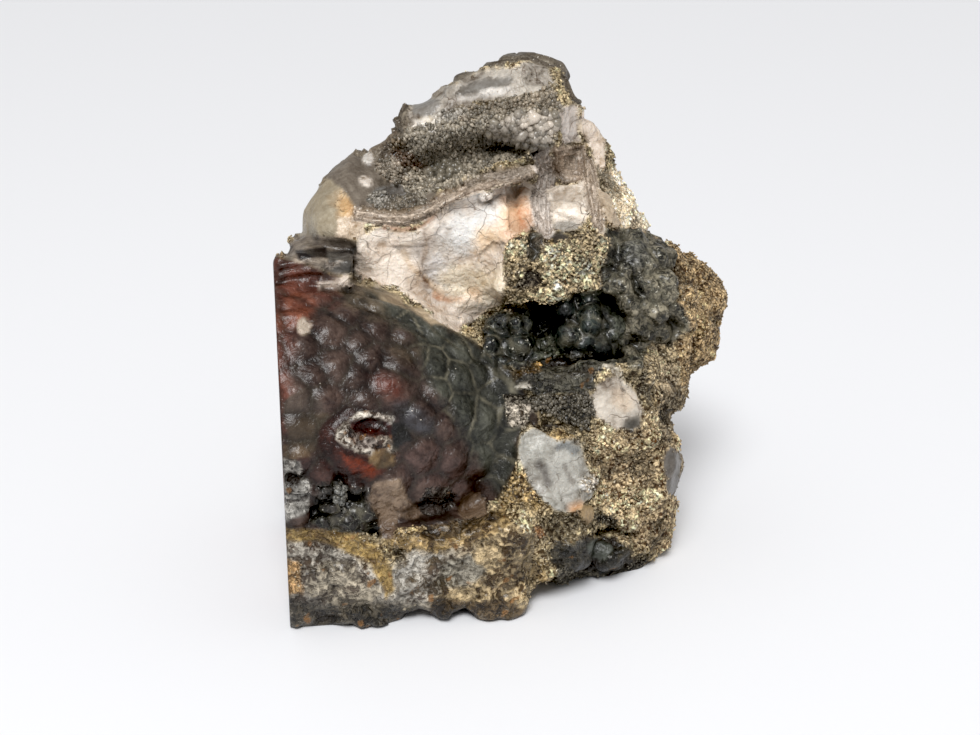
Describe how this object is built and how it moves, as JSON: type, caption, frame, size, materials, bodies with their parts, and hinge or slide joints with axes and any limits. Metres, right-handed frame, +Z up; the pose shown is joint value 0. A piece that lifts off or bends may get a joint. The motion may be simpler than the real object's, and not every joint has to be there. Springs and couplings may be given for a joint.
{
  "type": "fire agate rough",
  "caption": "Rough block of fire agate in its rock, with a bubbly brown agate dome, white quartz, a crystal vug and a dark hollow, sawn flat on its left side",
  "frame": {"origin": "on the flat underside of the stone, below its middle", "axes": "+Z up from the underside, -X out of the sawn face, -Y towards the viewer, out of the bubbly agate dome"},
  "size_m": [0.0852, 0.0691, 0.0888],
  "materials": {
    "agate": "natural broken stone, glossy on the agate dome, flat where it was sawn"
  },
  "bodies": {
    "root": {"fire_agate_rough": "agate"}
  },
  "joints": []
}
